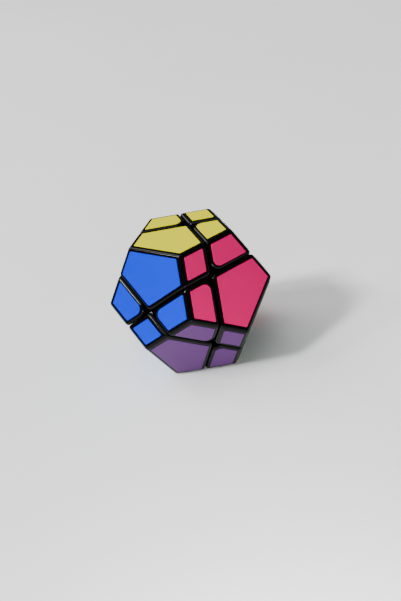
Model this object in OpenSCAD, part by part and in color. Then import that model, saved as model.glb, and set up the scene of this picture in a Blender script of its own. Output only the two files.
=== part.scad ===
// Dodecahedron twisty puzzle: a deep-cut puzzle with four turning axes.
// Twelve pentagonal faces, each cut into four facets by two lines through
// the middles of its edges, give fourteen outer pieces: six edge pieces,
// four fixed corners screwed to the core, and four free corners.
// Millimetres, +Z up. The origin is under the centre of the bottom face.

/* [Size] */
// Distance between two opposite faces, without the stickers
face_to_face = 74; // [68:1:86]
// Wall thickness of the hollow outer shells
wall = 1.8; // [1.4:0.1:2.4]
// Gap left between two pieces that turn past each other
gap = 0.3; // [0.2:0.05:0.4]

/* [Rounding] */
// Radius of a corner piece's edges where two cuts cross
side_round = 5; // [3.5:0.25:5.5]
// Radius of an edge piece's edges next to its five-sided facets where two cuts cross
big_round = 3.4; // [2:0.2:3.8]
// Radius of an edge piece's edges next to its four-sided facets where two cuts cross
small_round = 2.2; // [1.2:0.2:2.6]

/* [Stickers] */
// Thickness of one sticker
sticker_thickness = 0.25; // [0.15:0.05:0.5]
// Black border between an outer edge of a facet and its sticker
sticker_margin = 2.2; // [1.2:0.1:2.8]
// Black border on each side of a cut beside the five-sided facets
big_cut_margin = 2.35; // [1.5:0.05:3]
// Black border on each side of a cut beside the small facets
small_cut_margin = 2.7; // [1.5:0.05:3]
// Small radius on the ordinary sticker corners
corner_radius = 0.6; // [0.3:0.1:1]
// Radius of the four-sided side stickers at the crossing of the cuts
crossing_radius = 3.25; // [1:0.25:4]
// Radius of the five-sided stickers at the crossing of the cuts
big_crossing_radius = 1.5; // [0.5:0.25:3]

/* [Mechanism] */
// Radius of the core ball
core_radius = 15; // [14:0.25:15.5]
// Outer radius of the feet that run under the neighbouring pieces
foot_radius = 21; // [20.5:0.25:21.5]
// Half-angle of the conical tracks, measured from the turning axis
track_angle = 82; // [81:0.25:83]
// Thickness of the base that closes each shell
base_thickness = 2.5; // [2:0.1:3]
// Length of the compressed spring
spring_length = 4.4; // [3.6:0.2:5]
// Radial play between a screw and the bore that turns on it
shaft_play = 0.08; // [0.03:0.01:0.1]

/* [Hidden] */
$fn = 64;
phi = (1 + sqrt(5)) / 2;
inradius = face_to_face / 2;
inradius_ratio = phi * phi / sqrt(1 + phi * phi);
cube_half = inradius / inradius_ratio;
face_tilt = atan(1 / phi);
play = gap / 2;
reach = 70;
round_flats = 4;
least_round = 0.1;

axis_1 = [1, 1, 1];
axis_2 = [1, -1, -1];
axis_3 = [-1, 1, -1];
axis_4 = [-1, -1, 1];

base_inner = foot_radius + play;
base_outer = base_inner + base_thickness;
plug_height = 1.2;
plug_play = 0.1;
neck_overlap = 0.6;

shank_radius = 1.5;
shank_tip = 6.5;
pilot_play = 0.02;
pilot_start = 5.5;
boss_radius = 5;
seat_radius = 3.3;
seat_floor = base_inner + 1.35;
spring_play = 0.12;
spring_foot = seat_floor + spring_play;
washer_thickness = 0.5;
washer_radius = 3.05;
washer_seat = spring_foot + spring_length;
head_radius = 2.8;
head_height = 2;
head_seat = washer_seat + washer_thickness;
boss_top = head_seat + 0.5;
recess_width = 0.8;
recess_depth = 1.1;
pocket_radius = 4.6;
pocket_floor = 5;

wire_radius = 0.35;
coil_radius = 2.45;
coil_turns = 3.5;
coil_steps = 14;
wire_sides = 6;

black = [0.05, 0.05, 0.055];
dark_grey = [0.16, 0.16, 0.17];
core_grey = [0.30, 0.31, 0.33];
steel = [0.70, 0.71, 0.73];
sticker_tint = [0.85, 0.80, 0.20];

// ---- frames ----

// Stands the cube-aligned puzzle on one of its faces.
module standing() {
  translate([0, 0, inradius + sticker_thickness])
    rotate([0, 0, 90])
      rotate([0, -face_tilt, 0])
        children();
}

// Turns +Z to the direction v.
module along(v) {
  rotate([0, acos(v[2] / norm(v)), atan2(v[1], v[0])])
    children();
}

// The three steps about the first turning axis: z to x to y.
module cycle(steps) {
  rotate(a = 120 * steps, v = [1, 1, 1])
    children();
}

// Carries every point to the far side of the puzzle's centre.
module opposite() {
  mirror([1, 0, 0])
    rotate([180, 0, 0])
      children();
}

// Corner 1 of either kind, turned to corner k.
module to_corner(k) {
  half_turns = [[0, 0, 0], [180, 0, 0], [0, 180, 0], [0, 0, 180]];
  rotate(half_turns[k - 1])
    children();
}

// The edge piece on +Z, turned to the edge piece between turning axes j and k.
module to_edge(pair) {
  if (pair == 14) children();
  if (pair == 12) cycle(1) children();
  if (pair == 13) cycle(2) children();
  if (pair == 23) rotate([180, 0, 0]) children();
  if (pair == 24) rotate([180, 0, 0]) cycle(2) children();
  if (pair == 34) rotate([0, 0, 180]) cycle(1) children();
}

// ---- building blocks ----

// The half-space on the near side of the plane at distance d along v.
module near_side(v, d) {
  along(v)
    translate([-reach, -reach, d - 2 * reach])
      cube(2 * reach);
}

module hollow_ball(inner, outer) {
  difference() {
    sphere(outer);
    sphere(inner);
  }
}

// The conical track about one axis; it opens away from the axis direction.
module track(v, shift) {
  along(-v)
    translate([0, 0, shift / sin(track_angle)])
      cylinder(h = base_outer, r1 = 0, r2 = base_outer * tan(track_angle));
}

function unit(v) = v / norm(v);

// The direction that is that share of the way from a to b.
function between(a, b, share) =
  let (whole = acos(a * b))
  (sin((1 - share) * whole) * a + sin(share * whole) * b) / sin(whole);

// The near side of the flats that round the edge between cuts a and b. They
// touch one cylinder, whose radius shrinks as the cuts are set further in.
module rounded_edge(a, b, inset, radius) {
  round = max(radius + play - inset, least_round);
  intersection_for (i = [1:round_flats]) {
    n = between(unit(a), unit(b), i / (round_flats + 1));
    lean = n * (unit(a) + unit(b)) / (1 + unit(a) * unit(b));
    near_side(n, round - (inset + round) * lean);
  }
}

// Faces are named by the same three-number directions as their normals.
module corner_cell(inset, skin) {
  intersection() {
    near_side(axis_2, -inset);
    near_side(axis_3, -inset);
    near_side(axis_4, -inset);
    rounded_edge(axis_2, axis_3, inset, side_round);
    rounded_edge(axis_3, axis_4, inset, side_round);
    rounded_edge(axis_4, axis_2, inset, side_round);
    near_side([1, 0, phi], inradius - skin);
    near_side([phi, 1, 0], inradius - skin);
    near_side([0, phi, 1], inradius - skin);
  }
}

module edge_cell(inset, skin) {
  intersection() {
    near_side(-axis_1, -inset);
    near_side(-axis_4, -inset);
    near_side(axis_2, -inset);
    near_side(axis_3, -inset);
    rounded_edge(-axis_1, axis_3, inset, big_round);
    rounded_edge(-axis_4, axis_2, inset, big_round);
    rounded_edge(-axis_1, axis_2, inset, small_round);
    rounded_edge(-axis_4, axis_3, inset, small_round);
    near_side([1, 0, phi], inradius - skin);
    near_side([-1, 0, phi], inradius - skin);
    near_side([0, phi, 1], inradius - skin);
    near_side([0, -phi, 1], inradius - skin);
  }
}

// ---- outer shells, for corner 1 and for the edge piece on +Z ----

module corner_shell() {
  difference() {
    corner_cell(play, 0);
    corner_cell(play + wall, wall);
    sphere(base_outer);
  }
}

module free_shell() {
  opposite()
    corner_shell();
}

module edge_shell() {
  difference() {
    edge_cell(play, 0);
    edge_cell(play + wall, wall);
    sphere(base_outer);
  }
}

// ---- bases with the stem or foot that holds each piece ----

module fixed_foot(inner, outer) {
  intersection() {
    hollow_ball(inner, outer);
    track(axis_2, play);
    track(axis_3, play);
    track(axis_4, play);
  }
}

module corner_slab() {
  difference() {
    union() {
      intersection() {
        corner_cell(play, 0);
        sphere(base_outer);
      }
      intersection() {
        corner_cell(play + wall + plug_play, wall);
        sphere(base_outer + plug_height);
      }
    }
    sphere(base_inner);
  }
}

module fixed_base() {
  difference() {
    union() {
      corner_slab();
      along(axis_1)
        translate([0, 0, base_outer])
          cylinder(h = boss_top - base_outer, r = boss_radius);
      fixed_foot(core_radius + play, base_inner + neck_overlap);
    }
    screw_bore();
  }
}

module screw_bore() {
  along(axis_1) {
    cylinder(h = reach, r = shank_radius + shaft_play);
    translate([0, 0, seat_floor])
      cylinder(h = reach, r = seat_radius);
  }
}

module edge_foot(inner, outer) {
  difference() {
    intersection() {
      hollow_ball(inner, outer);
      track(axis_2, play);
      track(axis_3, play);
    }
    track(axis_1, -play);
    track(axis_4, -play);
  }
}

module edge_base() {
  difference() {
    union() {
      intersection() {
        edge_cell(play, 0);
        sphere(base_outer);
      }
      intersection() {
        edge_cell(play + wall + plug_play, wall);
        sphere(base_outer + plug_height);
      }
    }
    sphere(base_inner);
  }
  edge_foot(core_radius + play, foot_radius - play);
  intersection() {
    edge_foot(core_radius + play, base_inner + neck_overlap);
    edge_cell(play, 0);
  }
}

module free_foot(inner, outer) {
  difference() {
    intersection() {
      hollow_ball(inner, outer);
      track(axis_1, play);
    }
    track(axis_2, -play);
    track(axis_3, -play);
    track(axis_4, -play);
  }
}

module free_base() {
  opposite()
    corner_slab();
  free_foot(core_radius + play, foot_radius - play);
  intersection() {
    free_foot(core_radius + play, base_inner + neck_overlap);
    opposite() corner_cell(play, 0);
  }
}

// ---- core, screws, washers and springs ----

module core_ball() {
  difference() {
    sphere(core_radius - play);
    for (k = [1:4])
      to_corner(k)
        along(axis_1)
          translate([0, 0, pilot_start])
            cylinder(h = reach, r = shank_radius + pilot_play);
    for (side = [0, 180])
      rotate([side, 0, 0])
        for (steps = [0:2])
          cycle(steps)
            translate([0, 0, pocket_floor])
              cylinder(h = reach, r = pocket_radius);
  }
}

module screw() {
  difference() {
    union() {
      translate([0, 0, shank_tip])
        cylinder(h = head_seat - shank_tip, r = shank_radius);
      translate([0, 0, head_seat])
        cylinder(h = head_height, r1 = head_radius, r2 = head_radius - 0.4);
    }
    translate([0, 0, head_seat + head_height - recess_depth]) {
      translate([-head_radius * 0.6, -recess_width / 2, 0])
        cube([head_radius * 1.2, recess_width, head_height]);
      translate([-recess_width / 2, -head_radius * 0.6, 0])
        cube([recess_width, head_radius * 1.2, head_height]);
    }
  }
}

module washer() {
  translate([0, 0, washer_seat])
    difference() {
      cylinder(h = washer_thickness, r = washer_radius);
      translate([0, 0, -washer_thickness])
        cylinder(h = 3 * washer_thickness, r = shank_radius + pilot_play);
    }
}

// One point on the skin of the coil: step i along the wire, side j around it.
function coil_point(i, j) =
  let (
    turn = 360 * i / coil_steps,
    round = 360 * j / wire_sides,
    rise = (spring_length - 2.1 * wire_radius) * i / (coil_turns * coil_steps),
    out = coil_radius + wire_radius * cos(round)
  )
  [out * cos(turn), out * sin(turn), spring_foot + wire_radius + rise + wire_radius * sin(round)];

module spring() {
  last = coil_turns * coil_steps;
  skin = [
    for (i = [0:last - 1])
      for (j = [0:wire_sides - 1])
        let (a = i * wire_sides + j, b = i * wire_sides + (j + 1) % wire_sides)
          [a, b, b + wire_sides, a + wire_sides]
  ];
  start_cap = [for (j = [0:wire_sides - 1]) wire_sides - 1 - j];
  end_cap = [for (j = [0:wire_sides - 1]) last * wire_sides + j];
  polyhedron(
    points = [for (i = [0:last]) for (j = [0:wire_sides - 1]) coil_point(i, j)],
    faces = concat(skin, [start_cap, end_cap])
  );
}

module at_four_screws() {
  for (k = [1:4])
    to_corner(k)
      along(axis_1)
        children();
}

// ---- stickers ----

// A point of the face whose normal is (1, 0, phi), in that face's own plane.
function face_point(p) =
  cube_half * [p[0] * cos(face_tilt) - p[2] * sin(face_tilt), p[1]];
function middle(p, q) = (p + q) / 2;
function inward(p, q) = [p[1] - q[1], q[0] - p[0]] / norm(q - p);

end_a = face_point([0, 1 / phi, phi]);
end_b = face_point([0, -1 / phi, phi]);
side_c = face_point([1, -1, 1]);
tip_d = face_point([phi, 0, 1 / phi]);
side_e = face_point([1, 1, 1]);
crossing = face_point([1, 0, 1]);

arc_steps = 6;

// The rounded corner q of a sticker, set in by those margins from the facet's
// edges p-q and q-r.
function corner_arc(p, q, r, margins, radius) =
  let (
    n1 = inward(p, q),
    n2 = inward(q, r),
    reach1 = margins[0] + radius,
    reach2 = margins[1] + radius,
    lean = n1 * n2,
    hub = q + ((reach1 - lean * reach2) * n1 + (reach2 - lean * reach1) * n2) / (1 - lean * lean),
    start = atan2(-n1[1], -n1[0]),
    sweep = acos(n1 * n2)
  )
  [for (i = [0:arc_steps]) let (t = start + sweep * i / arc_steps) hub + radius * [cos(t), sin(t)]];

// The margins are those of the edges that start at each corner.
module sticker(corners, margins, radii) {
  n = len(corners);
  outline = [
    for (k = [0:n - 1])
      let (last = (k + n - 1) % n, next = (k + 1) % n)
      each corner_arc(corners[last], corners[k], corners[next], [margins[last], margins[k]], radii[k])
  ];
  rotate([0, face_tilt, 0])
    translate([0, 0, inradius])
      linear_extrude(sticker_thickness)
        polygon(outline);
}

module big_sticker() {
  sticker(
    [end_a, end_b, middle(end_b, side_c), crossing, middle(side_e, end_a)],
    [sticker_margin, sticker_margin, big_cut_margin, big_cut_margin, sticker_margin],
    [corner_radius, corner_radius, corner_radius, big_crossing_radius, corner_radius]
  );
}

module small_sticker() {
  sticker(
    [crossing, middle(side_c, tip_d), tip_d, middle(tip_d, side_e)],
    [small_cut_margin, sticker_margin, sticker_margin, small_cut_margin],
    [corner_radius, corner_radius, corner_radius, corner_radius]
  );
}

module side_sticker() {
  sticker(
    [crossing, middle(tip_d, side_e), side_e, middle(side_e, end_a)],
    [small_cut_margin, sticker_margin, sticker_margin, big_cut_margin],
    [crossing_radius, corner_radius, corner_radius, corner_radius]
  );
}

module edge_stickers() {
  for (side = [0, 180])
    rotate([0, 0, side]) {
      big_sticker();
      cycle(2) small_sticker();
    }
}

module corner_stickers() {
  for (steps = [0:2])
    cycle(steps)
      side_sticker();
}

// ---- the named parts ----

module core() {
  color(core_grey) standing() core_ball();
}

module screws() {
  color(steel) standing() at_four_screws() screw();
}

module washers() {
  color(steel) standing() at_four_screws() washer();
}

module springs() {
  color(steel) standing() at_four_screws() spring();
}

module fixed_corner_1_shell() {
  color(black) standing() to_corner(1) corner_shell();
}

module fixed_corner_1_base() {
  color(dark_grey) standing() to_corner(1) fixed_base();
}

module fixed_corner_1_stickers() {
  color(sticker_tint) standing() to_corner(1) corner_stickers();
}

module fixed_corner_2_shell() {
  color(black) standing() to_corner(2) corner_shell();
}

module fixed_corner_2_base() {
  color(dark_grey) standing() to_corner(2) fixed_base();
}

module fixed_corner_2_stickers() {
  color(sticker_tint) standing() to_corner(2) corner_stickers();
}

module fixed_corner_3_shell() {
  color(black) standing() to_corner(3) corner_shell();
}

module fixed_corner_3_base() {
  color(dark_grey) standing() to_corner(3) fixed_base();
}

module fixed_corner_3_stickers() {
  color(sticker_tint) standing() to_corner(3) corner_stickers();
}

module fixed_corner_4_shell() {
  color(black) standing() to_corner(4) corner_shell();
}

module fixed_corner_4_base() {
  color(dark_grey) standing() to_corner(4) fixed_base();
}

module fixed_corner_4_stickers() {
  color(sticker_tint) standing() to_corner(4) corner_stickers();
}

module free_corner_1_shell() {
  color(black) standing() to_corner(1) free_shell();
}

module free_corner_1_base() {
  color(dark_grey) standing() to_corner(1) free_base();
}

module free_corner_1_stickers() {
  color(sticker_tint) standing() to_corner(1) opposite() corner_stickers();
}

module free_corner_2_shell() {
  color(black) standing() to_corner(2) free_shell();
}

module free_corner_2_base() {
  color(dark_grey) standing() to_corner(2) free_base();
}

module free_corner_2_stickers() {
  color(sticker_tint) standing() to_corner(2) opposite() corner_stickers();
}

module free_corner_3_shell() {
  color(black) standing() to_corner(3) free_shell();
}

module free_corner_3_base() {
  color(dark_grey) standing() to_corner(3) free_base();
}

module free_corner_3_stickers() {
  color(sticker_tint) standing() to_corner(3) opposite() corner_stickers();
}

module free_corner_4_shell() {
  color(black) standing() to_corner(4) free_shell();
}

module free_corner_4_base() {
  color(dark_grey) standing() to_corner(4) free_base();
}

module free_corner_4_stickers() {
  color(sticker_tint) standing() to_corner(4) opposite() corner_stickers();
}

module edge_12_shell() {
  color(black) standing() to_edge(12) edge_shell();
}

module edge_12_base() {
  color(dark_grey) standing() to_edge(12) edge_base();
}

module edge_12_stickers() {
  color(sticker_tint) standing() to_edge(12) edge_stickers();
}

module edge_13_shell() {
  color(black) standing() to_edge(13) edge_shell();
}

module edge_13_base() {
  color(dark_grey) standing() to_edge(13) edge_base();
}

module edge_13_stickers() {
  color(sticker_tint) standing() to_edge(13) edge_stickers();
}

module edge_14_shell() {
  color(black) standing() to_edge(14) edge_shell();
}

module edge_14_base() {
  color(dark_grey) standing() to_edge(14) edge_base();
}

module edge_14_stickers() {
  color(sticker_tint) standing() to_edge(14) edge_stickers();
}

module edge_23_shell() {
  color(black) standing() to_edge(23) edge_shell();
}

module edge_23_base() {
  color(dark_grey) standing() to_edge(23) edge_base();
}

module edge_23_stickers() {
  color(sticker_tint) standing() to_edge(23) edge_stickers();
}

module edge_24_shell() {
  color(black) standing() to_edge(24) edge_shell();
}

module edge_24_base() {
  color(dark_grey) standing() to_edge(24) edge_base();
}

module edge_24_stickers() {
  color(sticker_tint) standing() to_edge(24) edge_stickers();
}

module edge_34_shell() {
  color(black) standing() to_edge(34) edge_shell();
}

module edge_34_base() {
  color(dark_grey) standing() to_edge(34) edge_base();
}

module edge_34_stickers() {
  color(sticker_tint) standing() to_edge(34) edge_stickers();
}

core();
screws();
washers();
springs();
fixed_corner_1_shell();
fixed_corner_1_base();
fixed_corner_1_stickers();
fixed_corner_2_shell();
fixed_corner_2_base();
fixed_corner_2_stickers();
fixed_corner_3_shell();
fixed_corner_3_base();
fixed_corner_3_stickers();
fixed_corner_4_shell();
fixed_corner_4_base();
fixed_corner_4_stickers();
free_corner_1_shell();
free_corner_1_base();
free_corner_1_stickers();
free_corner_2_shell();
free_corner_2_base();
free_corner_2_stickers();
free_corner_3_shell();
free_corner_3_base();
free_corner_3_stickers();
free_corner_4_shell();
free_corner_4_base();
free_corner_4_stickers();
edge_12_shell();
edge_12_base();
edge_12_stickers();
edge_13_shell();
edge_13_base();
edge_13_stickers();
edge_14_shell();
edge_14_base();
edge_14_stickers();
edge_23_shell();
edge_23_base();
edge_23_stickers();
edge_24_shell();
edge_24_base();
edge_24_stickers();
edge_34_shell();
edge_34_base();
edge_34_stickers();
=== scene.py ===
"""The look of the dodecahedron twisty puzzle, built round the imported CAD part.

Metres, in the CAD part's frame: +Z up, the origin under the centre of the bottom face.
The outer shells and the stickers are rebuilt with rounded edges from the same planes as the
CAD part; the bases, core, screws, washers and springs are the CAD nodes themselves.
"""

import itertools
import math

import bmesh
import bpy
import numpy as np
from mathutils import Matrix, Vector


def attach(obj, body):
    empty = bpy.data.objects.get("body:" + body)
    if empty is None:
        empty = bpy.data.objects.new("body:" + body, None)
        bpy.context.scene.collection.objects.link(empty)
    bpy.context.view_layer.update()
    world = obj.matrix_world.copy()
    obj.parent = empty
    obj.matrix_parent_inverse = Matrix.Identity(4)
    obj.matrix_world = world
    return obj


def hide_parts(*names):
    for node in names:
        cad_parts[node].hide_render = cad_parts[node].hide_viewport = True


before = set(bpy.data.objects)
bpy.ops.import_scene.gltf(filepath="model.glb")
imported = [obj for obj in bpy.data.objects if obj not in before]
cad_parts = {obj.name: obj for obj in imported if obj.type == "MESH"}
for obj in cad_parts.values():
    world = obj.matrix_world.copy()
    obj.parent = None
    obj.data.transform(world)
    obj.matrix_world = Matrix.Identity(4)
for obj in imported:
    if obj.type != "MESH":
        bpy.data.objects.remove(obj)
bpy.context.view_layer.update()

# ---- sizes, as in the CAD part ----

PHI = (1 + math.sqrt(5)) / 2
INRADIUS = 0.037
STICKER = 0.00025
PLAY = 0.00015
WALL = 0.0018
BASE_OUTER = 0.02365
SIDE_ROUND = 0.005
BIG_ROUND = 0.0034
CUBE_HALF = INRADIUS * math.sqrt(1 + PHI * PHI) / (PHI * PHI)
TILT = math.atan(1 / PHI)

# ---- sizes of the look alone ----

# The rounded lips along the edges of the faces.
LIP = 0.0015
LIP_SEGMENTS = 6
# The upright rounding of an edge piece's two small corners.
SMALL_ROUND = 0.003
# The low shoulder that fills the hollow in front of each small corner: its own rounding, how
# far under the faces it lies, how it slopes, how far it stops short of the cuts' crossing, and
# how much it stands back from the sides of the piece.
SHOULDER_ROUND = 0.0006
SHOULDER_DEPTH = 0.0016
SHOULDER_SLOPE = math.radians(17)
SHOULDER_TIP = 0.0018
SHOULDER_BACK = 0.00004
# The flat steps that make up each upright rounding.
ROUND_STEPS = 12
# Where the solids end towards the middle, inside the ball that is cut away for their bases.
CORNER_FLOOR = 0.017
EDGE_FLOOR = 0.0155
SHOULDER_FLOOR = 0.0153
CAVITY_DROP = 0.001

# The stickers' corner radii and rounded rims, and the steps of each arc.
CORNER = 0.0006
SIDE_CROSSING = 0.0033
BIG_CROSSING = 0.0015
RIM = 0.00009
CORNER_STEPS = 10
RIM_STEPS = 4

# Edges that bend by more than this many degrees stay sharp.
SHELL_SHARP = 32
STICKER_SHARP = 50

# ---- the cut planes' axes, and the faces that each kind of piece touches ----

AXIS = {1: (1, 1, 1), 2: (1, -1, -1), 3: (-1, 1, -1), 4: (-1, -1, 1)}
FACES_OF_CORNER = ((1, 0, PHI), (PHI, 1, 0), (0, PHI, 1))
FACES_OF_EDGE = ((1, 0, PHI), (-1, 0, PHI), (0, PHI, 1), (0, -PHI, 1))

# ---- placing: the cube-aligned puzzle, its symmetries, and standing on a face ----


def half_turn(axis):
    return Matrix.Rotation(math.pi, 4, axis)


CYCLE = Matrix(((0, 0, 1, 0), (1, 0, 0, 0), (0, 1, 0, 0), (0, 0, 0, 1)))
OPPOSITE = Matrix.Scale(-1, 4)
STAND = (
    Matrix.Translation((0, 0, INRADIUS + STICKER))
    @ Matrix.Rotation(math.pi / 2, 4, "Z")
    @ Matrix.Rotation(-TILT, 4, "Y")
)
CORNER_PLACE = {1: Matrix.Identity(4), 2: half_turn("X"), 3: half_turn("Y"), 4: half_turn("Z")}
EDGE_PLACE = {
    "14": Matrix.Identity(4),
    "12": CYCLE,
    "13": CYCLE @ CYCLE,
    "23": half_turn("X"),
    "24": half_turn("X") @ CYCLE @ CYCLE,
    "34": half_turn("Z") @ CYCLE,
}

# ---- solids bounded by planes, each a (normal, distance) pair ----

# Three normals whose determinant is smaller meet in no sharp point.
LEAST_DETERMINANT = 1e-6
# How far past a plane a point may lie, and how close two points count as one.
SLACK = 1e-8
SAME_POINT = 2e-7


def unit(v):
    v = np.array(v, float)
    return v / np.linalg.norm(v)


def between(a, b, share):
    """The direction that is that share of the way from a to b."""
    whole = math.acos(float(a @ b))
    return (math.sin((1 - share) * whole) * a + math.sin(share * whole) * b) / math.sin(whole)


def rounding(a, b, inset, radius):
    """Planes that round the edge between two cuts. The radius is that of the outer surface."""
    radius += PLAY - inset
    planes = []
    for i in range(1, ROUND_STEPS):
        n = between(a, b, i / ROUND_STEPS)
        near = -(inset + radius)
        lean = float(n @ (a + b)) / (1 + float(a @ b))
        planes.append((n, near * lean + radius))
    return planes


def corner_planes(inset, skin, floor):
    """A corner piece: three cuts, three faces and an inner end."""
    cuts = [unit(AXIS[k]) for k in (2, 3, 4)]
    planes = [(n, -inset) for n in cuts]
    for a, b in itertools.combinations(cuts, 2):
        planes += rounding(a, b, inset, SIDE_ROUND)
    planes += [(unit(n), INRADIUS - skin) for n in FACES_OF_CORNER]
    planes.append((-unit(AXIS[1]), -floor))
    return planes


def edge_sides(inset, small_round):
    """The four cuts of an edge piece, with its two big and two small corners rounded."""
    top, bottom = -unit(AXIS[1]), -unit(AXIS[4])
    left, right = unit(AXIS[2]), unit(AXIS[3])
    planes = [(n, -inset) for n in (top, bottom, left, right)]
    planes += rounding(top, right, inset, BIG_ROUND)
    planes += rounding(bottom, left, inset, BIG_ROUND)
    planes += rounding(top, left, inset, small_round)
    planes += rounding(bottom, right, inset, small_round)
    return planes


def edge_planes(inset, skin, floor):
    """An edge piece: its sides, four faces and an inner end."""
    planes = edge_sides(inset, SMALL_ROUND)
    planes += [(unit(n), INRADIUS - skin) for n in FACES_OF_EDGE]
    planes.append((-unit((0, 0, 1)), -floor))
    return planes


def shoulder_planes(inset, floor):
    """The lower part of an edge piece, which fills the hollow in front of its small corners."""
    planes = edge_sides(inset, SHOULDER_ROUND)
    planes += [(unit(n), INRADIUS - SHOULDER_DEPTH) for n in FACES_OF_EDGE]
    for side in (1, -1):
        face = unit((0, side * PHI, 1))
        uphill = unit(np.array((0, side, 0)) - side * face[1] * face)
        slope = math.cos(SHOULDER_SLOPE) * face + math.sin(SHOULDER_SLOPE) * uphill
        crossing = CUBE_HALF * np.array((0, side, 1))
        tip = crossing - SHOULDER_TIP * uphill - SHOULDER_DEPTH * face
        planes.append((slope, float(slope @ tip)))
    planes.append((-unit((0, 0, 1)), -floor))
    return planes


def solid(planes):
    """A bmesh of the convex solid on the near side of every plane."""
    normals = np.array([n for n, _ in planes])
    limits = np.array([d for _, d in planes])
    points, owners = [], []
    for trio in itertools.combinations(range(len(planes)), 3):
        matrix = normals[list(trio)]
        if abs(np.linalg.det(matrix)) < LEAST_DETERMINANT:
            continue
        p = np.linalg.solve(matrix, limits[list(trio)])
        if (normals @ p > limits + SLACK).any():
            continue
        for q, own in zip(points, owners):
            if np.linalg.norm(p - q) < SAME_POINT:
                own.update(trio)
                break
        else:
            points.append(p)
            owners.append(set(trio))
    bm = bmesh.new()
    verts = [bm.verts.new(p) for p in points]
    for k, n in enumerate(normals):
        ring = [i for i, own in enumerate(owners) if k in own]
        if len(ring) < 3:
            continue
        middle = sum(points[i] for i in ring) / len(ring)
        across = unit(points[ring[0]] - middle)
        up = np.cross(n, across)
        spokes = {i: points[i] - middle for i in ring}
        ring.sort(key=lambda i: math.atan2(spokes[i] @ up, spokes[i] @ across))
        bm.faces.new([verts[i] for i in ring])
    bm.normal_update()
    return bm


def round_lips(bm, face_normals):
    """Rounds every edge that borders one of the coloured faces."""
    normals = [Vector(unit(n)) for n in face_normals]
    coloured = [f for f in bm.faces if any(f.normal.dot(n) > 0.99999 for n in normals)]
    edges = [e for e in bm.edges if any(f in coloured for f in e.link_faces)]
    bmesh.ops.bevel(
        bm,
        geom=edges,
        offset=LIP * math.sqrt(2),
        offset_type="WIDTH",
        segments=LIP_SEGMENTS,
        profile=0.5,
        affect="EDGES",
        clamp_overlap=False,
    )


def as_mesh(bm, name):
    mesh = bpy.data.meshes.new(name)
    bm.to_mesh(mesh)
    bm.free()
    return mesh


def linked(name, data):
    """A new object in the scene that shows that mesh, lamp or camera."""
    obj = bpy.data.objects.new(name, data)
    bpy.context.scene.collection.objects.link(obj)
    return obj


def hollowed(outer, cavity, name, shoulder=None):
    """The outer solid and its shoulder, less the cavity and the ball that its base fills."""
    body = linked(name, as_mesh(outer, name))
    ball = bmesh.new()
    bmesh.ops.create_icosphere(ball, subdivisions=4, radius=BASE_OUTER)
    steps = [("DIFFERENCE", cavity, "cavity"), ("DIFFERENCE", ball, "ball")]
    if shoulder:
        steps.insert(0, ("UNION", shoulder, "shoulder"))
    steps = [(operation, linked(word, as_mesh(bm, word))) for operation, bm, word in steps]
    for operation, tool in steps:
        cut = body.modifiers.new("cut", "BOOLEAN")
        cut.operation = operation
        cut.solver = "EXACT"
        cut.object = tool
    bpy.context.view_layer.update()
    evaluated = body.evaluated_get(bpy.context.evaluated_depsgraph_get())
    mesh = bpy.data.meshes.new_from_object(evaluated)
    for obj in [body] + [tool for _, tool in steps]:
        old = obj.data
        bpy.data.objects.remove(obj)
        bpy.data.meshes.remove(old)
    return mesh


def placed(mesh, matrix, name):
    """A copy of the mesh in its place, as a new object."""
    copy = mesh.copy()
    copy.transform(matrix)
    if matrix.determinant() < 0:
        copy.flip_normals()
    copy.name = name
    return linked(name, copy)


def smooth(obj, sharp_above):
    """Smooth shading that keeps flat faces flat and edges over that angle sharp."""
    obj.data.shade_smooth()
    obj.data.set_sharp_from_angle(angle=math.radians(sharp_above))
    weighted = obj.modifiers.new("flat faces stay flat", "WEIGHTED_NORMAL")
    weighted.weight = 90
    weighted.keep_sharp = True


# ---- materials ----


class Nodes:
    """Short words for building one node material."""

    def __init__(self, name):
        self.material = bpy.data.materials.new(name)
        self.material.use_nodes = True
        self.tree = self.material.node_tree
        self.shader = self.tree.nodes["Principled BSDF"]
        coords = self.tree.nodes.new("ShaderNodeTexCoord")
        self.place = coords.outputs["Object"]

    def noise(self, scale, detail=3.0):
        node = self.tree.nodes.new("ShaderNodeTexNoise")
        node.inputs["Scale"].default_value = scale
        node.inputs["Detail"].default_value = detail
        self.tree.links.new(self.place, node.inputs["Vector"])
        return node.outputs["Fac"]

    def spread(self, source, low, high, into):
        """Maps noise onto low to high, and sends it into a shader input."""
        node = self.tree.nodes.new("ShaderNodeMapRange")
        node.inputs["From Min"].default_value = 0.3
        node.inputs["From Max"].default_value = 0.7
        node.inputs["To Min"].default_value = low
        node.inputs["To Max"].default_value = high
        self.tree.links.new(source, node.inputs["Value"])
        self.tree.links.new(node.outputs["Result"], self.shader.inputs[into])

    def colour(self, source, low, high):
        """Blends two colours by noise, as the shader's base colour."""
        ramp = self.tree.nodes.new("ShaderNodeValToRGB")
        ramp.color_ramp.elements[0].position = 0.3
        ramp.color_ramp.elements[0].color = (*low, 1)
        ramp.color_ramp.elements[1].position = 0.7
        ramp.color_ramp.elements[1].color = (*high, 1)
        self.tree.links.new(source, ramp.inputs["Fac"])
        self.tree.links.new(ramp.outputs["Color"], self.shader.inputs["Base Color"])

    def relief(self, source, depth):
        bump = self.tree.nodes.new("ShaderNodeBump")
        bump.inputs["Distance"].default_value = depth
        bump.inputs["Strength"].default_value = 1.0
        self.tree.links.new(source, bump.inputs["Height"])
        self.tree.links.new(bump.outputs["Normal"], self.shader.inputs["Normal"])

    def finished(self, **sockets):
        """The material, once these shader inputs have their even values."""
        for socket, value in sockets.items():
            self.shader.inputs[socket].default_value = value
        return self.material


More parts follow.
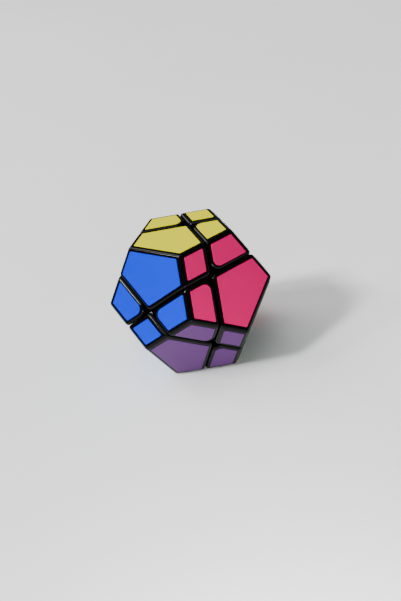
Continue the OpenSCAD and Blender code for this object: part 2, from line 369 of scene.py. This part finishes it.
def shell_plastic():
    n = Nodes("shell_plastic")
    n.colour(n.noise(60), (0.0008, 0.0008, 0.0010), (0.0016, 0.0016, 0.0018))
    n.spread(n.noise(140, 4), 0.10, 0.14, "Roughness")
    return n.finished(IOR=1.2)


def inner_plastic(name, low, high):
    n = Nodes(name)
    n.colour(n.noise(80), low, high)
    n.spread(n.noise(300, 4), 0.38, 0.52, "Roughness")
    n.relief(n.noise(2500, 2), 0.000006)
    return n.finished(IOR=1.46)


def steel(name, low, high):
    n = Nodes(name)
    n.colour(n.noise(200), low, high)
    n.spread(n.noise(900, 4), 0.22, 0.36, "Roughness")
    n.relief(n.noise(3000, 2), 0.000004)
    return n.finished(Metallic=1.0)


def vinyl(name, colour):
    darker = tuple(c * 0.985 for c in colour)
    n = Nodes(name)
    n.colour(n.noise(25, 1), darker, colour)
    n.spread(n.noise(60, 2), 0.28, 0.30, "Roughness")
    return n.finished(IOR=1.2)


def wear(obj, material):
    """Gives the whole object that one material."""
    obj.data.materials.clear()
    obj.data.materials.append(material)
    for face in obj.data.polygons:
        face.material_index = 0


# ---- the shells ----


def corner_shell():
    outer = solid(corner_planes(PLAY, 0, CORNER_FLOOR))
    round_lips(outer, FACES_OF_CORNER)
    cavity = solid(corner_planes(PLAY + WALL, WALL, CORNER_FLOOR - CAVITY_DROP))
    return hollowed(outer, cavity, "corner")


def edge_shell():
    outer = solid(edge_planes(PLAY, 0, EDGE_FLOOR))
    round_lips(outer, FACES_OF_EDGE)
    cavity = solid(edge_planes(PLAY + WALL, WALL, EDGE_FLOOR - CAVITY_DROP))
    shoulder = solid(shoulder_planes(PLAY + SHOULDER_BACK, SHOULDER_FLOOR))
    return hollowed(outer, cavity, "edge", shoulder)


def put_shell(mesh, matrix, body, plastic):
    shell = placed(mesh, STAND @ matrix, body + "_rounded_shell")
    smooth(shell, SHELL_SHARP)
    wear(shell, plastic)
    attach(shell, body)
    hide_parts(body + "_shell")


corner_mesh = corner_shell()
edge_mesh = edge_shell()
black = shell_plastic()
for k, place in CORNER_PLACE.items():
    put_shell(corner_mesh, place, f"fixed_corner_{k}", black)
for k, place in CORNER_PLACE.items():
    put_shell(corner_mesh, place @ OPPOSITE, f"free_corner_{k}", black)
for pair, place in EDGE_PLACE.items():
    put_shell(edge_mesh, place, "edge_" + pair, black)

# ---- the stickers ----

INKS = {
    "yellow": (0.66, 0.61, 0.0),
    "blue": (0.0, 0.018, 0.54),
    "pink": (0.53, 0.001, 0.1),
    "purple": (0.082, 0.023, 0.122),
    "green": (0.0, 0.27, 0.025),
    "orange": (0.75, 0.16, 0.0),
    "white": (0.72, 0.72, 0.72),
    "sky": (0.015, 0.3, 0.68),
    "maroon": (0.11, 0.0015, 0.01),
    "dark_green": (0.0, 0.085, 0.02),
    "red": (0.52, 0.0, 0.004),
    "tan": (0.45, 0.26, 0.11),
}

# Each face, as the turns that bring the face (1, 0, PHI) to it.
FACE_PLACE = {
    "yellow": Matrix.Identity(4),
    "blue": half_turn("Z"),
    "red": half_turn("X"),
    "tan": half_turn("Y"),
    "orange": CYCLE,
    "purple": half_turn("Z") @ CYCLE,
    "white": half_turn("X") @ CYCLE,
    "sky": half_turn("Y") @ CYCLE,
    "green": CYCLE @ CYCLE,
    "pink": half_turn("Z") @ CYCLE @ CYCLE,
    "dark_green": half_turn("X") @ CYCLE @ CYCLE,
    "maroon": half_turn("Y") @ CYCLE @ CYCLE,
}


def face_point(p):
    """A point of the face (1, 0, PHI), in that face's own plane."""
    return CUBE_HALF * np.array((p[0] * math.cos(TILT) - p[2] * math.sin(TILT), p[1]))


END_A = face_point((0, 1 / PHI, PHI))
END_B = face_point((0, -1 / PHI, PHI))
SIDE_C = face_point((1, -1, 1))
TIP_D = face_point((PHI, 0, 1 / PHI))
SIDE_E = face_point((1, 1, 1))
CROSSING = face_point((1, 0, 1))
MID_BC, MID_CD = (END_B + SIDE_C) / 2, (SIDE_C + TIP_D) / 2
MID_DE, MID_EA = (TIP_D + SIDE_E) / 2, (SIDE_E + END_A) / 2

# Each facet of the face (1, 0, PHI): its corners, the margin of the edge that starts at each
# corner, and the corners whose radius is larger. The margins are estimates.
FACETS = {
    "big": (
        (END_A, END_B, MID_BC, CROSSING, MID_EA),
        (0.0020, 0.0018, 0.0025, 0.0028, 0.0025),
        {3: BIG_CROSSING},
    ),
    "small": (
        (CROSSING, MID_CD, TIP_D, MID_DE),
        (0.0025, 0.0020, 0.0021, 0.0027),
        {},
    ),
    "side_c": (
        (CROSSING, MID_BC, SIDE_C, MID_CD),
        (0.0018, 0.0020, 0.0022, 0.0025),
        {0: SIDE_CROSSING},
    ),
    "side_e": (
        (CROSSING, MID_DE, SIDE_E, MID_EA),
        (0.0025, 0.0023, 0.0021, 0.0018),
        {0: SIDE_CROSSING},
    ),
}

# The direction, from the puzzle's middle, of the piece under each facet of that face.
FACET_HEART = {"big": (0, 0, 1), "small": (1, 0, 0), "side_c": (1, -1, 1), "side_e": (1, 1, 1)}


def outline(corners, margins, radii, inset):
    """The facet's outline set in by its margins and the inset, with rounded corners."""
    points = []
    count = len(corners)
    for k in range(count):
        p, q, r = corners[k - 1], corners[k], corners[(k + 1) % count]
        n1 = np.array((p[1] - q[1], q[0] - p[0])) / np.linalg.norm(q - p)
        n2 = np.array((q[1] - r[1], r[0] - q[0])) / np.linalg.norm(r - q)
        radius = radii.get(k, CORNER) - inset
        reach1, reach2 = margins[k - 1] + inset + radius, margins[k] + inset + radius
        lean = n1 @ n2
        hub = q + ((reach1 - lean * reach2) * n1 + (reach2 - lean * reach1) * n2) / (1 - lean * lean)
        start = math.atan2(-n1[1], -n1[0])
        sweep = math.acos(n1 @ n2)
        for i in range(CORNER_STEPS + 1):
            t = start + sweep * i / CORNER_STEPS
            points.append(hub + radius * np.array((math.cos(t), math.sin(t))))
    return points


def sticker_mesh(facet):
    """The sticker of that facet on the face (1, 0, PHI), with a rounded rim."""
    corners, margins, radii = FACETS[facet]
    levels = [(0.0, 0.0)]
    for i in range(RIM_STEPS + 1):
        t = math.pi / 2 * i / RIM_STEPS
        levels.append((RIM * (1 - math.cos(t)), STICKER - RIM * (1 - math.sin(t))))
    bm = bmesh.new()
    lift = Matrix.Rotation(TILT, 4, "Y") @ Matrix.Translation((0, 0, INRADIUS))
    loops = []
    for inset, height in levels:
        ring = outline(corners, margins, radii, inset)
        loops.append([bm.verts.new(lift @ Vector((p[0], p[1], height))) for p in ring])
    for low, high in zip(loops, loops[1:]):
        for i in range(len(low)):
            j = (i + 1) % len(low)
            bm.faces.new((low[i], low[j], high[j], high[i]))
    bm.faces.new(loops[-1])
    bm.faces.new(list(reversed(loops[0])))
    return as_mesh(bm, "sticker_" + facet)


def body_towards(direction):
    """The body whose cell holds that direction of the cube-aligned puzzle."""
    turned = [k for k, axis in AXIS.items() if Vector(axis).dot(direction) > 0]
    if len(turned) == 1:
        return f"fixed_corner_{turned[0]}"
    if len(turned) == 2:
        return f"edge_{turned[0]}{turned[1]}"
    return f"free_corner_{10 - sum(turned)}"


sticker_meshes = {facet: sticker_mesh(facet) for facet in FACETS}
for ink, place in FACE_PLACE.items():
    film = vinyl("vinyl_" + ink, INKS[ink])
    for facet, mesh in sticker_meshes.items():
        body = body_towards(place.to_3x3() @ Vector(FACET_HEART[facet]))
        sticker = placed(mesh, STAND @ place, f"sticker_{ink}_{facet}")
        smooth(sticker, STICKER_SHARP)
        wear(sticker, film)
        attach(sticker, body)
        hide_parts(body + "_stickers")

# ---- the parts kept from the CAD part ----

dark = inner_plastic("base_plastic", (0.010, 0.010, 0.011), (0.018, 0.018, 0.020))
grey = inner_plastic("core_plastic", (0.07, 0.07, 0.075), (0.10, 0.10, 0.107))
bright = steel("screw_steel", (0.52, 0.52, 0.54), (0.66, 0.66, 0.68))
wire = steel("spring_steel", (0.42, 0.43, 0.45), (0.58, 0.59, 0.61))
inside = {"core": grey, "screws": bright, "washers": bright, "springs": wire}
for name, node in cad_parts.items():
    if name.endswith("_base"):
        wear(node, dark)
    elif name in inside:
        wear(node, inside[name])

# ---- floor, light and camera ----

HEART = (0, 0, INRADIUS)
FLOOR_HALF = 6
EYE = Vector((0.24673, -0.2835, 0.24887))
AIM = Vector((0.00393, 0.0003, 0.0316))
ROLL = math.radians(-11.99)

floor_corners = [(FLOOR_HALF * x, FLOOR_HALF * y, 0) for x, y in ((-1, -1), (1, -1), (1, 1), (-1, 1))]
floor_mesh = bpy.data.meshes.new("floor")
floor_mesh.from_pydata(floor_corners, [], [(0, 1, 2, 3)])
floor = linked("floor", floor_mesh)
paper = Nodes("floor_paper")
paper.colour(paper.noise(3), (0.84, 0.84, 0.84), (0.87, 0.87, 0.87))
paper.spread(paper.noise(40), 0.75, 0.85, "Roughness")
wear(floor, paper.material)


def from_direction(azimuth, elevation, distance):
    """A point seen from the puzzle's middle at that azimuth from -Y towards +X, and elevation."""
    a, e = math.radians(azimuth), math.radians(elevation)
    flat = distance * math.cos(e)
    return Vector((flat * math.sin(a), -flat * math.cos(a), INRADIUS + distance * math.sin(e)))


def softbox(name, at, width, height, watts):
    """A rectangular lamp that faces the puzzle's middle."""
    lamp = bpy.data.lights.new(name, "AREA")
    lamp.shape = "RECTANGLE"
    lamp.size = width
    lamp.size_y = height
    lamp.energy = watts
    obj = linked(name, lamp)
    obj.location = at
    obj.rotation_euler = (Vector(HEART) - at).to_track_quat("-Z", "Y").to_euler()


softbox("key", from_direction(-26, 44, 5), 0.75, 0.75, 290)
softbox("high_left", from_direction(-82, 48, 5), 1.6, 1.6, 75)
softbox("low_left", from_direction(-103, 21, 5), 1.8, 1.5, 26)
softbox("spark", from_direction(-47, 39, 5), 0.5, 0.5, 75)
softbox("low", from_direction(40, 4, 0.28), 0.12, 0.05, 0.5)

sky = bpy.data.lights.new("sky", "SUN")
sky.energy = 1.1
sky.angle = math.radians(40)
linked("sky", sky).rotation_euler = (math.radians(6), 0, 0)

world = bpy.data.worlds.new("studio")
world.use_nodes = True
background = world.node_tree.nodes["Background"]
background.inputs["Color"].default_value = (0.93, 0.96, 1.0, 1)
background.inputs["Strength"].default_value = 0.15
bpy.context.scene.world = world

optics = bpy.data.cameras.new("camera")
optics.sensor_width = 36
optics.lens = 47.06
camera = linked("camera", optics)
camera.location = EYE
look = (AIM - EYE).to_track_quat("-Z", "Y").to_matrix()
camera.rotation_euler = (look @ Matrix.Rotation(ROLL, 3, "Z")).to_euler()
bpy.context.scene.camera = camera
